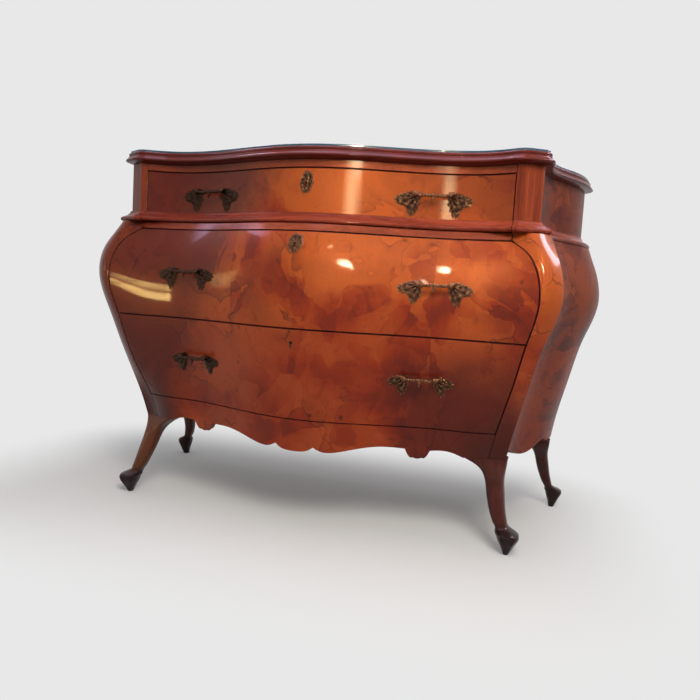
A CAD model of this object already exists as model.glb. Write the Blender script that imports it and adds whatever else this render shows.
"""Looks of the bombe chest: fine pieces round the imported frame, its finishes and the stage."""

import math

import bmesh
import bpy
from bpy.props import FloatProperty, FloatVectorProperty, PointerProperty
from bpy.types import Operator, Panel, PropertyGroup
from mathutils import Matrix, Vector


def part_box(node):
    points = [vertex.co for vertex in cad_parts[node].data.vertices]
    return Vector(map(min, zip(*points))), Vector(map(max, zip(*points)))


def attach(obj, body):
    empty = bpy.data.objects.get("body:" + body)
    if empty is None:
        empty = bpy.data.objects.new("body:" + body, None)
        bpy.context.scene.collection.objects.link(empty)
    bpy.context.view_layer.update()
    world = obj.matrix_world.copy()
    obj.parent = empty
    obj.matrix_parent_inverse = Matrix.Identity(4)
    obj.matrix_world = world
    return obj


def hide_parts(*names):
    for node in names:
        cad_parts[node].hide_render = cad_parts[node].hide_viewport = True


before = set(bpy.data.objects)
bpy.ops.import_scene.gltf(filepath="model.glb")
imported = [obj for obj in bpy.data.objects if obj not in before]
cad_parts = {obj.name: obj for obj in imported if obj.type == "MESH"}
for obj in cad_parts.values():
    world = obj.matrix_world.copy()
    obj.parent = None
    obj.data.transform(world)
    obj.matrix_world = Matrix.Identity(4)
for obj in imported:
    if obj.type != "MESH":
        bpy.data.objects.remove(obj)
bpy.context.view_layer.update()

bl_info = {
    "name": "Bombe chest",
    "version": (1, 0, 0),
    "blender": (4, 5, 0),
    "location": "3D View > Sidebar > Chest",
    "description": "Builds the visible pieces, finishes and stage of a bombe chest of three drawers",
    "category": "Object",
}

# ---------------------------------------------------------------- driving dimensions, in millimetres
MM = 0.001
LEG_TALL = 206.0
APRON_TALL = 61.5
DRAWER_3_TALL = 212.0
DRAWER_2_TALL = 218.0
WAIST_RAIL_TALL = 17.5
DRAWER_1_TALL = 125.3
TOP_RAIL_TALL = 18.5
BOARD_THICK = 27.0
GLASS_THICK = 5.0
REVEAL = 1.2
GLUE_LINE = 0.2

HALF_WIDTH = 516.0
FRIEZE_BOW = 85.0
HOLLOW_X = HALF_WIDTH - 154.0
FACET_X = HALF_WIDTH - 46.0
FACET_FRONT = 35.0
FACET_REAR = 7.0
DRAWER_1_HALF = FACET_X - 12.0
CASE_BACK = 388.0
BOX_BACK = 330.0                 # rear of the drawer boxes
FRONT_THICK = 24.0
SIDE_THICK = 22.0
FRIEZE_SIDE_THICK = 20.0
STILE_DEEP = 45.0
FRIEZE_POST_BACK = 45.0
RAIL_BACK = 60.0
APRON_THICK = 22.0
GLASS_OVER = 8.0
REAR_LEG_BEYOND = 12.0
REAR_LEG_SPLAY = 28.0
REAR_LEG_SLIM = 8.0
BELLY_RUN_ON = 5.5

APRON_TOP = LEG_TALL + APRON_TALL
D3_LOW = APRON_TOP + REVEAL
D3_TOP = D3_LOW + DRAWER_3_TALL
D2_LOW = D3_TOP + REVEAL
D2_TOP = D2_LOW + DRAWER_2_TALL
WAIST_RAIL_LOW = D2_TOP + REVEAL
WAIST_TOP = WAIST_RAIL_LOW + WAIST_RAIL_TALL
D1_LOW = WAIST_TOP + REVEAL
D1_TOP = D1_LOW + DRAWER_1_TALL
TOP_RAIL_LOW = D1_TOP + REVEAL
FRIEZE_TOP = TOP_RAIL_LOW + TOP_RAIL_TALL
BOARD_TOP = FRIEZE_TOP + BOARD_THICK
BELLY_TALL = WAIST_TOP + BELLY_RUN_ON - LEG_TALL
DRAWER_SPAN = {1: (D1_LOW, D1_TOP), 2: (D2_LOW, D2_TOP), 3: (D3_LOW, D3_TOP)}
KEYHOLES = {1: D1_TOP - 34.0, 2: D2_TOP - 29.0, 3: D3_TOP - 31.7}
PLATES = {1: (19.0, 52.0), 2: (22.0, 45.0)}    # half width and height
PLATE_UP = {1: 2.0, 2: 1.5}      # middle of the plate above the keyhole
# middle x, bar height, distance between posts, reach of the leafy ends outwards and downwards
PULLS = {1: (280.0, D1_LOW + 78.0, 78.0, 48.0, 50.0),
         2: (308.0, D2_LOW + 116.5, 74.0, 46.0, 46.0),
         3: (286.0, D3_LOW + 118.5, 70.0, 39.0, 40.0)}
LEAF = ((-0.22, 0.04), (0.02, 0.17), (0.40, 0.12), (0.76, 0.0), (1.0, -0.22), (0.78, -0.50), (0.50, -0.58),
        (0.30, -1.0), (0.0, -0.86), (-0.18, -0.42))
PULL_STAND = 19.0                # from the drawer front to the middle of the bar
BAR_DIP = 2.5
BAR_TIP = (11.0, 5.0)            # reach of the bar beyond its posts, and its rise there
BAR_BEADS = (0.09, 0.17, 0.25, 0.33)
# depth and radius of the rings that turn a post, and drop, half width and depth of those of the bar's drop
POST_RINGS = ((1.2, 7.0), (3.5, 7.2), (5.0, 5.5), (8.0, 4.6), (11.0, 4.2), (14.0, 4.6), (17.0, 5.6),
              (20.0, 5.8), (22.5, 4.6), (24.0, 1.5))
DROP_RINGS = ((-1.0, 3.0, 3.5), (4.5, 3.0, 3.4), (6.5, 5.2, 3.2), (9.0, 3.6, 2.8), (12.0, 2.2, 2.0),
              (14.5, 0.6, 0.7))
KEY_RADIUS = 3.0
KEY_SLOT = 1.5                   # half width of the slot below the keyhole's eye
KEY_TAIL = 9.0                   # from the eye down to the end of the slot
BOLT_TRAVEL = 8.0
BOLT_ROOM = 1.0                  # round a lock bolt in its mortise
BOLT_HEADROOM = 1.5              # above it at the end of its travel
GLASS_SHORT = 3.0                # the glass ends this far before the board does
GLASS_CHAMFER = 0.7
BOARD_TURNS = ((HALF_WIDTH, 6.0), (FACET_X, 16.0))       # the turns of board and glass, their easing
POST_EASE = 4.5
STILE_RIM = 1.5                  # the stile's inner edge lies this far behind its face
SHIFT_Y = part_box("drawer_1_back")[1].y / MM - BOX_BACK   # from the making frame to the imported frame
STAGE_ZERO = 0.1422              # the stage's zero in the making frame, in metres
STAGE_Y = SHIFT_Y * MM + STAGE_ZERO                      # the stage goes with the chest
TINY = 0.01                      # step for slopes

# share of the depth, how far the side stands out
SIDE_SWEEP = ((-0.3, 0.0), (-0.1, 0.0), (0.0, -0.5), (0.18, -6.0), (0.335, 2.0), (0.515, 30.0), (0.695, 62.0),
              (0.85, 80.0), (1.0, 88.0))
# share of the belly's height, y of the front: in the middle, in the hollow, at the stile's turn, at the arris
BELLY_MIDDLE = ((0.0, -85.0), (0.12, -95.0), (0.24, -108.0), (0.375, -123.0), (0.53, -135.5), (0.645, -141.0),
                (0.76, -142.0), (0.875, -137.0), (0.95, -124.0), (1.0, -110.0))
BELLY_HOLLOW = ((0.0, 5.0), (0.12, -8.0), (0.24, -26.0), (0.375, -45.0), (0.53, -61.5), (0.645, -67.0),
                (0.76, -64.0), (0.875, -47.0), (0.95, -29.0), (1.0, -17.0))
BELLY_STILE = ((0.0, 27.0), (0.12, 10.0), (0.24, -18.0), (0.375, -43.0), (0.53, -62.0), (0.645, -73.0),
               (0.76, -77.0), (0.875, -64.0), (0.95, -50.0), (1.0, -39.0))
BELLY_ARRIS = ((0.0, 39.0), (0.12, 22.0), (0.24, 2.0), (0.375, -23.0), (0.53, -44.0), (0.645, -52.0),
               (0.76, -56.0), (0.875, -45.0), (0.95, -22.0), (1.0, -5.0))
# the same share, how far the arris stands out, and below how wide the stile is
ARRIS_OUT = ((0.0, -33.0), (0.12, -23.0), (0.24, -9.0), (0.375, 7.5), (0.53, 29.0), (0.645, 51.0),
             (0.735, 59.0), (0.80, 56.0), (0.875, 46.0), (0.95, 30.5), (1.0, 21.0))
STILE_TURN = 45.0
STILE_WIDE = ((0.0, 44.0), (0.11, 40.0), (0.25, 36.0), (0.45, 34.0), (0.60, 40.0), (0.75, 47.0), (0.83, 50.0),
              (0.88, 55.0), (0.911, 62.0), (0.938, 76.0), (0.956, 88.5))
# height, how far it stands out
TOP_PROFILE = ((0.0, 4.0), (1.5, 9.0), (3.0, 14.5), (5.5, 18.8), (8.0, 20.0), (9.8, 19.2), (12.5, 16.4),
               (15.5, 14.0), (18.0, 12.6), (19.0, 11.2), (20.5, 11.8), (24.0, 12.2), (27.0, 9.5))
WAIST_PROFILE = ((0.0, 19.0), (1.5, 21.8), (5.5, 23.5), (9.5, 22.0), (12.0, 18.5), (13.0, 15.5), (15.0, 11.5),
                 (19.0, 6.5), (23.0, 3.6), (26.5, 2.5))
# the lower edges of apron and side: x or y, height above the legs
APRON_EDGE = (((0.0, -15.0), (26.0, -13.0), (40.0, -7.0), (47.0, -1.0)),
              ((47.0, -1.0), (62.0, -9.0), (90.0, -11.0), (130.0, -2.0), (190.0, 10.0), (252.0, 9.0)),
              ((252.0, 9.0), (260.0, -5.0), (280.0, -11.0), (300.0, -5.0), (308.0, 8.0)),
              ((308.0, 8.0), (338.0, 11.0), (364.0, 7.5), (384.0, 0.0)))
DROP_RUN = 2                     # the run of the edge that carries the carved drop
SIDE_SCALLOP = ((84.0, 0.0), (104.0, 8.0), (122.0, 5.0), (160.0, -9.0), (195.0, -14.0), (230.0, -8.0),
                (265.0, 6.0), (292.0, 9.0), (316.0, 0.0))
# height as a share of the leg, inner x, outer x, front y inside, front y outside, rear y, roundness
LEG_SECTIONS = (
    (1.00, -132.0, -33.5, 7.5, 38.5, 84.0, 0.42),
    (0.96, -115.5, -34.0, 9.5, 36.0, 81.0, 0.48),
    (0.92, -102.5, -34.5, 11.0, 32.0, 78.0, 0.54),
    (0.80, -83.0, -36.5, 12.0, 20.0, 64.0, 0.65),
    (0.63, -74.0, -32.5, 4.0, 7.0, 48.0, 0.7),
    (0.46, -64.0, -27.0, -6.0, -4.0, 32.0, 0.7),
    (0.345, -54.5, -21.0, -11.0, -9.0, 25.0, 0.7),
    (0.29, -49.0, -13.0, -16.0, -15.0, 22.0, 0.7),
    (0.25, -46.0, 2.0, -23.0, -25.0, 22.0, 0.7),
    (0.15, -38.0, 4.0, -23.0, -27.0, 20.0, 0.7),
    (0.06, -31.0, -4.0, -17.0, -18.0, 14.0, 0.7),
    (0.0, -28.0, -9.0, -13.0, -13.0, 10.0, 0.7))
# the carved toe's petalled lip, the neck drawn in above it and its ribbed pad: height, reach, swelling
TOE_RINGS = ((49.5, 3.6, 6.5), (60.0, 6.5, 4.4), (30.0, 13.0, 1.4))
LEG_FOLLOWS = 46.0               # the top of a leg that runs on from the stile
LEG_TOP_POWER = 0.20             # roundness there


# ---------------------------------------------------------------- curves
class Smooth:
    """Natural cubic curve through (place, value) pairs, straight beyond its ends."""

    def __init__(self, pairs):
        self.place = [pair[0] for pair in pairs]
        self.value = [pair[1] for pair in pairs]
        count = len(pairs)
        step = [self.place[i + 1] - self.place[i] for i in range(count - 1)]
        rise = [(self.value[i + 1] - self.value[i]) / step[i] for i in range(count - 1)]
        scale = [0.0] * count
        load = [0.0] * count
        for i in range(1, count - 1):
            pivot = 2.0 * (step[i - 1] + step[i]) - step[i - 1] * scale[i - 1]
            scale[i] = step[i] / pivot
            load[i] = (6.0 * (rise[i] - rise[i - 1]) - step[i - 1] * load[i - 1]) / pivot
        self.bend = [0.0] * count
        for i in range(count - 2, 0, -1):
            self.bend[i] = load[i] - scale[i] * self.bend[i + 1]
        self.step = step
        self.rise = rise

    def __call__(self, place):
        last = len(self.step) - 1
        if place <= self.place[0]:
            slope = self.rise[0] - self.step[0] * self.bend[1] / 6.0
            return self.value[0] + slope * (place - self.place[0])
        if place >= self.place[-1]:
            slope = self.rise[last] + self.step[last] * self.bend[last] / 6.0
            return self.value[-1] + slope * (place - self.place[-1])
        i = 0
        while place > self.place[i + 1]:
            i += 1
        before = self.place[i + 1] - place
        after = place - self.place[i]
        step = self.step[i]
        cubic = (self.bend[i] * before ** 3 + self.bend[i + 1] * after ** 3) / (6.0 * step)
        left = (self.value[i] / step - self.bend[i] * step / 6.0) * before
        right = (self.value[i + 1] / step - self.bend[i + 1] * step / 6.0) * after
        return cubic + left + right


middle_profile = Smooth(BELLY_MIDDLE)
hollow_profile = Smooth(BELLY_HOLLOW)
stile_profile = Smooth(BELLY_STILE)
arris_profile = Smooth(BELLY_ARRIS)
arris_out = Smooth(ARRIS_OUT)
stile_wide = Smooth(STILE_WIDE)
side_sweep = Smooth([(share * CASE_BACK, out) for share, out in SIDE_SWEEP])
scallop = Smooth(SIDE_SCALLOP)
apron_runs = [Smooth(run) for run in APRON_EDGE]


def share(z):
    return (z - LEG_TALL) / BELLY_TALL


def arris_x(z):
    return HALF_WIDTH + arris_out(share(z))


def stile_x(z):
    """The line where the drawer fronts end and the stile begins; straight up beside the waist rail."""
    z = min(z, D2_TOP)
    return arris_x(z) - stile_wide(share(z))


def frieze_front(x):
    x = abs(x)
    if x <= HOLLOW_X:
        return -FRIEZE_BOW * math.cos(math.pi * x / (2.0 * HOLLOW_X)) ** 2
    return -FACET_FRONT * ((x - HOLLOW_X) / (FACET_X - HOLLOW_X)) ** 2


def belly_front(x, z):
    x = abs(x)
    level = share(z)
    hollow = hollow_profile(level)
    if x <= HOLLOW_X:
        return hollow + (middle_profile(level) - hollow) * math.cos(math.pi * x / (2.0 * HOLLOW_X)) ** 2
    turn_x = arris_x(z) - STILE_TURN
    stile = stile_profile(level)
    if x <= turn_x:
        return hollow + (stile - hollow) * ((x - HOLLOW_X) / (turn_x - HOLLOW_X)) ** 2
    slope = 2.0 * (stile - hollow) / (turn_x - HOLLOW_X)
    curl = (arris_profile(level) - stile - slope * STILE_TURN) / STILE_TURN ** 2
    along = x - turn_x
    return stile + slope * along + curl * along ** 2


def front_y(drawer, x, z):
    return frieze_front(x) if drawer == 1 else belly_front(x, z)


def arris_point(z):
    """Where the bombe front meets the side at one level."""
    y = arris_profile(share(z))
    for _ in range(4):
        x = arris_x(z) + side_sweep(y)
        y = belly_front(x, z)
    return x, y


def apron_low(x):
    x = abs(x)
    for run, table in zip(apron_runs, APRON_EDGE):
        if x <= table[-1][0]:
            return LEG_TALL + run(x)
    return LEG_TALL


def side_low(y):
    return LEG_TALL + (scallop(y) if y < SIDE_SCALLOP[-1][0] else 0.0)


def spaced(first, last, count):
    return [first + (last - first) * i / (count - 1.0) for i in range(count)]


def turns(count):
    """Angles evenly round a circle."""
    return spaced(0.0, 2.0 * math.pi, count + 1)[:-1]


def bell(value, middle, reach):
    return math.exp(-((value - middle) / reach) ** 2)


def slope_at(curve, place):
    return (curve(place + TINY) - curve(place - TINY)) / (2.0 * TINY)


def moved(rows, x=0.0, y=0.0):
    """The same rows of points, moved."""
    return [[(px + x, py + y, pz) for px, py, pz in row] for row in rows]


# ---------------------------------------------------------------- meshes
class Shell:
    """Points and faces of one piece, in millimetres of the making frame."""

    def __init__(self):
        self.points = []
        self.faces = []
        self.finish = []

    def add(self, points):
        start = len(self.points)
        self.points += [tuple(point) for point in points]
        return list(range(start, len(self.points)))

    def face(self, corners, finish=0):
        self.faces.append(tuple(corners))
        self.finish.append(finish)

    def strip(self, low, high, closed=False, finish=0):
        """Faces between two rows of equal length."""
        count = len(low)
        for i in range(count if closed else count - 1):
            j = (i + 1) % count
            chosen = finish[i] if isinstance(finish, (list, tuple)) else finish
            self.face((low[i], low[j], high[j], high[i]), chosen)

    def sheet(self, rows, finish=0):
        """A grid of points given row by row; returns its index rows."""
        grid = [self.add(row) for row in rows]
        for low, high in zip(grid, grid[1:]):
            self.strip(low, high, False, finish)
        return grid

    def slab(self, front, back, finish=0):
        """A closed slab between two grids of the same shape."""
        ahead = self.sheet(front, finish)
        rear = [self.add(row) for row in back]
        for low, high in zip(rear, rear[1:]):
            self.strip(high, low, False, finish)
        self.strip(rear[0], ahead[0], False, finish)
        self.strip(ahead[-1], rear[-1], False, finish)
        self.strip([row[0] for row in ahead], [row[0] for row in rear], False, finish)
        self.strip([row[-1] for row in rear], [row[-1] for row in ahead], False, finish)

    def tube(self, sections, finish=0, caps=True):
        """A closed skin through sections that are closed loops of equal length."""
        loops = [self.add(section) for section in sections]
        for low, high in zip(loops, loops[1:]):
            self.strip(low, high, True, finish)
        if caps:
            end = finish[0] if isinstance(finish, (list, tuple)) else finish
            self.face(reversed(loops[0]), end)
            self.face(loops[-1], end)
        return loops

    def reflected(self, place):
        """A copy on points that a reflection carries elsewhere."""
        twin = Shell()
        twin.points = [place(*point) for point in self.points]
        twin.faces = [tuple(reversed(face)) for face in self.faces]
        twin.finish = list(self.finish)
        return twin

    def mirrored(self):
        return self.reflected(lambda x, y, z: (-x, y, z))

    def join(self, other):
        start = self.add(other.points)[0]
        for face, finish in zip(other.faces, other.finish):
            self.face([start + i for i in face], finish)

    def mesh(self, name):
        mesh = bpy.data.meshes.new(name)
        mesh.from_pydata([(x * MM, (y + SHIFT_Y) * MM, z * MM) for x, y, z in self.points], [], self.faces)
        return mesh

    def build(self, name, body, nodes, slot, finishes, soften=1.0, crease=32.0, rim=-1):
        """The Blender object: placed, shaded, with its edges softened and its finishes; rim is the finish of
        the softened edges, where they have one of their own."""
        mesh = self.mesh(name)
        for finish in finishes:
            mesh.materials.append(finish)
        mesh.polygons.foreach_set("material_index", self.finish)
        mesh.polygons.foreach_set("use_smooth", [True] * len(self.faces))
        face_outwards(mesh)
        mesh.set_sharp_from_angle(angle=math.radians(crease))
        piece = put(name, mesh)
        if soften:
            edge = piece.modifiers.new("softened edges", "BEVEL")
            edge.width = soften * MM
            edge.segments = 2
            edge.material = rim
            edge.limit_method = "ANGLE"
            edge.angle_limit = math.radians(crease)
            edge.harden_normals = True
        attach(piece, body)
        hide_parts(*nodes)
        return piece


def slab_shell(front, back):
    shell = Shell()
    shell.slab(front, back)
    return shell


def tube_shell(sections, finish=0):
    shell = Shell()
    shell.tube(sections, finish)
    return shell


def put(name, data):
    """A new object of the scene."""
    made = bpy.data.objects.new(name, data)
    bpy.context.scene.collection.objects.link(made)
    return made


def face_outwards(mesh):
    shape = bmesh.new()
    shape.from_mesh(mesh)
    bmesh.ops.recalc_face_normals(shape, faces=shape.faces)
    shape.to_mesh(mesh)
    shape.free()


def cut_out(piece, cutter):
    """Takes the cutter's room out of a piece for good and removes the cutter."""
    cut = piece.modifiers.new("opening", "BOOLEAN")
    cut.object = cutter
    cut.solver = "EXACT"
    bpy.context.view_layer.update()
    made = bpy.data.meshes.new_from_object(piece.evaluated_get(bpy.context.evaluated_depsgraph_get()))
    piece.modifiers.remove(cut)
    made.name = piece.data.name
    piece.data = made
    bpy.data.objects.remove(cutter)


# ---------------------------------------------------------------- plan of the frieze
def unit(x, y):
    length = math.hypot(x, y)
    return x / length, y / length


def frieze_plan(back, across, along=40):
    """(x, y, nx, ny) round the right half of the frieze, from the middle to the back; the normals at the two
    turns of the corner post are mitred, so that an offset keeps its faces parallel."""
    plan = []
    for x in spaced(0.0, FACET_X, across)[:-1]:
        plan.append((x, frieze_front(x)) + unit(slope_at(frieze_front, x), -1.0))
    slope = (frieze_front(FACET_X) - frieze_front(FACET_X - TINY)) / TINY
    facet = unit(FACET_FRONT - FACET_REAR, -(HALF_WIDTH - FACET_X))
    plan.append((FACET_X, -FACET_FRONT) + mitre(unit(slope, -1.0), facet))
    slope = side_sweep(0.0) - side_sweep(-1.0)
    plan.append((HALF_WIDTH, -FACET_REAR) + mitre(facet, unit(1.0, -slope)))
    for y in spaced(-FACET_REAR, back, along)[1:]:
        plan.append((HALF_WIDTH + side_sweep(y), y) + unit(1.0, -slope_at(side_sweep, y)))
    plan[-1] = plan[-1][:2] + (1.0, 0.0)
    return plan


def index_at(line, x):
    return next(i for i, point in enumerate(line) if point[0] == x)


def eased_corner(points, corner, reach):
    """Replaces one corner of a line by a short curve that starts and ends this far from it."""
    def walk(step):
        left = reach
        k = corner
        while True:
            ax, ay = points[k]
            bx, by = points[k + step]
            length = math.hypot(bx - ax, by - ay)
            if length >= left:
                return k + step, (ax + (bx - ax) * left / length, ay + (by - ay) * left / length)
            left -= length
            k += step
    low, start = walk(-1)
    high, end = walk(1)
    cx, cy = points[corner]
    curve = []
    for t in spaced(0.0, 1.0, 9):
        a, b, c = (1.0 - t) ** 2, 2.0 * t * (1.0 - t), t ** 2
        curve.append((a * start[0] + b * cx + c * end[0], a * start[1] + b * cy + c * end[1]))
    return points[:low + 1] + curve + points[high:]


def rounded_plan(back=CASE_BACK):
    """The frieze's plan with eased corners, for the board and the glass."""
    points = [(x, y) for x, y, nx, ny in frieze_plan(back, 90)]
    for turn, reach in BOARD_TURNS:
        points = eased_corner(points, index_at(points, turn), reach)
    plan = [points[0] + (0.0, -1.0)]
    for (ax, ay), here, (bx, by) in zip(points, points[1:], points[2:]):
        plan.append(here + unit(by - ay, ax - bx))
    return plan + [points[-1] + (1.0, 0.0)]


def mitre(first, second):
    """Offset direction at a corner between two faces, as long as a mitred corner needs."""
    mx, my = unit(first[0] + second[0], first[1] + second[1])
    reach = 1.0 / (mx * first[0] + my * first[1])
    return mx * reach, my * reach


def swept(plan, profile, low):
    """Rows of points: the profile (height, out) carried round a plan."""
    return [[(x + nx * out, y + ny * out, low + up) for x, y, nx, ny in plan] for up, out in profile]


def both_hands(plan):
    return [(-x, y, -nx, ny) for x, y, nx, ny in reversed(plan[1:])] + plan


def eased(profile):
    """The same profile with three points for each given one, rounded between them."""
    places = [0.0]
    for a, b in zip(profile, profile[1:]):
        places.append(places[-1] + math.hypot(b[0] - a[0], b[1] - a[1]))
    ups = Smooth([(p, pair[0]) for p, pair in zip(places, profile)])
    outs = Smooth([(p, pair[1]) for p, pair in zip(places, profile)])
    fine = []
    for a, b in zip(places, places[1:]):
        fine += [(ups(p), outs(p)) for p in spaced(a, b, 4)[:-1]]
    return fine + [profile[-1]]


# ---------------------------------------------------------------- settings
def colour(name, text, value):
    return FloatVectorProperty(name=name, description=text, subtype="COLOR", size=3, min=0.0, max=1.0,
                               default=value)


class ChestWood(PropertyGroup):
    burl_light: colour("Burl, light", "Lightest patches of the burl veneer", (0.50, 0.112, 0.020))
    burl_middle: colour("Burl, middle", "Ground colour of the burl veneer", (0.33, 0.036, 0.009))
    burl_dark: colour("Burl, dark", "Burgundy clouds of the burl veneer", (0.090, 0.013, 0.012))
    burl_vein: colour("Burl, veins", "Fine dark veins and eyes", (0.030, 0.005, 0.005))
    side_light: colour("Side, light", "Lightest patches of the side veneer", (0.34, 0.070, 0.020))
    side_middle: colour("Side, middle", "Ground colour of the side veneer", (0.165, 0.029, 0.013))
    strip_light: colour("Strips, light", "Early wood of the straight-grained strips", (0.40, 0.075, 0.024))
    strip_dark: colour("Strips, dark", "Late wood of the straight-grained strips", (0.20, 0.032, 0.014))
    moulding: colour("Moulding", "Stained mouldings", (0.17, 0.022, 0.014))
    waist_light: colour("Waist moulding, light", "Lighter grain of the waist moulding", (0.38, 0.066, 0.030))
    waist_dark: colour("Waist moulding, dark", "Darker grain of the waist moulding", (0.20, 0.032, 0.017))
    leg: colour("Leg", "Stained legs", (0.038, 0.0075, 0.006))
    toe: colour("Toe", "Blackened carved toes", (0.009, 0.005, 0.007))
    plain: colour("Plain wood", "Unpolished wood inside the carcass", (0.34, 0.19, 0.085))
    polish: FloatProperty(name="Polish", description="Strength of the french polish's clear layer",
                          subtype="FACTOR", min=0.0, max=1.0, default=0.5)


class ChestMetal(PropertyGroup):
    brass: colour("Brass", "Rubbed high places of the cast brass", (0.30, 0.125, 0.055))
    patina: colour("Patina", "Dark hollows of the cast brass", (0.022, 0.011, 0.007))
    iron: colour("Iron", "Locks, bolts and nuts", (0.16, 0.15, 0.14))


class ChestStage(PropertyGroup):
    ground: colour("Ground", "Floor and background", (0.807, 0.807, 0.807))
    lamp: FloatProperty(name="Main lamp", description="Power of the wide lamp", unit="POWER", default=42.0,
                        min=0.0)
    cool: FloatProperty(name="Upper lamp", description="Power of the cool lamp overhead", unit="POWER",
                        default=26.0, min=0.0)
    sky: FloatProperty(name="Room light", description="Strength of the even light", default=0.25, min=0.0)
    lens: FloatProperty(name="Lens", description="Focal length on a 36 mm sensor", unit="CAMERA",
                        default=35.02, min=1.0)


# ---------------------------------------------------------------- finishes
class Sock:
    """A shader socket that takes part in sums."""

    def __init__(self, tree, socket):
        self.tree = tree
        self.socket = socket

    def sum(self, operation, *others):
        return self.tree.add("ShaderNodeMath", {"operation": operation}, self, *others)

    def __add__(self, other):
        return self.sum("ADD", other)

    def __sub__(self, other):
        return self.sum("SUBTRACT", other)

    def __mul__(self, other):
        return self.sum("MULTIPLY", other)

    def __truediv__(self, other):
        return self.sum("DIVIDE", other)

    def __pow__(self, other):
        return self.sum("POWER", other)

    def __neg__(self):
        return self.sum("MULTIPLY", -1.0)

    def __rsub__(self, other):
        return self.tree.add("ShaderNodeMath", {"operation": "SUBTRACT"}, other, self)

    def __rtruediv__(self, other):
        return self.tree.add("ShaderNodeMath", {"operation": "DIVIDE"}, other, self)

    __radd__ = __add__
    __rmul__ = __mul__

    def over(self, low, high):
        """0 below low, 1 above high, smooth between."""
        return self.tree.add("ShaderNodeMapRange", {"interpolation_type": "SMOOTHSTEP"}, self, low, high,
                             0.0, 1.0)


class Finish:
    """The nodes of one material, or of the room; all of them come from one method."""

    def __init__(self, name, owner=None):
        self.owner = owner or bpy.data.materials.new(name)
        self.owner.use_nodes = True
        self.nodes = self.owner.node_tree.nodes
        self.links = self.owner.node_tree.links
        self.nodes.clear()
        if owner is None:
            self.place = self.add("ShaderNodeTexCoord", {}, out="Object")

    def add(self, kind, settings, *values, out=0, **named):
        """One node: its settings first, then the values or links of its sockets."""
        node = self.nodes.new(kind)
        for key, value in settings.items():
            setattr(node, key, value)
        sockets = list(zip([s for s in node.inputs if s.enabled], values))
        sockets += [(node.inputs[key.replace("_", " ")], value) for key, value in named.items()]
        for socket, value in sockets:
            if isinstance(value, Sock):
                self.links.new(value.socket, socket)
            elif value is not None:
                socket.default_value = value
        outputs = [s for s in node.outputs if s.enabled] if isinstance(out, int) else node.outputs
        return Sock(self, outputs[out]) if len(outputs) else None

    def all_of(self, sock, *names):
        """Other outputs of the node that a socket belongs to."""
        return [Sock(self, sock.socket.node.outputs[name]) for name in names]

    def axes(self, where):
        return self.all_of(self.add("ShaderNodeSeparateXYZ", {}, where), "X", "Y", "Z")

    def seen(self):
        """1 for what the camera meets, directly, in gloss or through glass."""
        path = self.add("ShaderNodeLightPath", {})
        camera, gloss, glass = self.all_of(path, "Is Camera Ray", "Is Glossy Ray", "Is Transmission Ray")
        return camera.sum("MAXIMUM", gloss).sum("MAXIMUM", glass)

    def scaled(self, x, y, z, shift=(0.0, 0.0, 0.0), source=None):
        return self.add("ShaderNodeMapping", {}, source or self.place, shift, (0.0, 0.0, 0.0), (x, y, z))

    def noise(self, where, scale, detail=3.0, rough=0.55, distort=0.0):
        return self.add("ShaderNodeTexNoise", {}, where, Scale=scale, Detail=detail, Roughness=rough,
                        Distortion=distort)

    def cells(self, where, scale, feature="F1", out="Distance"):
        return self.add("ShaderNodeTexVoronoi", {"feature": feature}, where, out=out, Scale=scale)

    def vector(self, operation, *values, **named):
        return self.add("ShaderNodeVectorMath", {"operation": operation}, *values, **named)

    def mix(self, part, low, high, blend="MIX"):
        low, high = [c if isinstance(c, Sock) else (*c[:3], 1.0) for c in (low, high)]
        return self.add("ShaderNodeMix", {"data_type": "RGBA", "blend_type": blend}, part, low, high)

    def bent(self, where, amount, scale, detail=2.0):
        """The same place, pushed about by a soft noise."""
        push = self.add("ShaderNodeTexNoise", {}, where, out="Color", Scale=scale, Detail=detail)
        push = self.vector("SCALE", self.vector("SUBTRACT", push, (0.5, 0.5, 0.5)), Scale=amount)
        return self.vector("ADD", where, push)

    def bump(self, height, strength, reach):
        return self.add("ShaderNodeBump", {}, Strength=strength, Distance=reach, Height=height)

    def done(self, base, rough, bump=None, **constants):
        """The surface itself; what is the same all over it is set on the shader's own sockets."""
        return self.close(self.add("ShaderNodeBsdfPrincipled", {}, Base_Color=base, Roughness=rough,
                                   Normal=bump, **constants))

    def close(self, shader, kind="Material"):
        self.add("ShaderNodeOutput" + kind, {}, Surface=shader)
        return self.owner


WARM_GLOSS = (1.0, 0.42, 0.20, 1.0)      # old shellac shines amber
RUDDY = (0.40, 0.062, 0.020)             # light patches of the burl low down
PORE = (0.03, 0.012, 0.008)
LIT_LEG = (0.16, 0.05, 0.02)
RUST = (0.16, 0.07, 0.035)
GLASS_EDGE_DARK = ((0.012, 0.045, 0.075), (0.045, 0.10, 0.15))
GLASS_EDGE_PALE = ((0.30, 0.28, 0.42), (0.46, 0.44, 0.58))


def shaded(shade, colour_of):
    """The same colour, so many times as bright."""
    return tuple(shade * c for c in colour_of)


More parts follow.
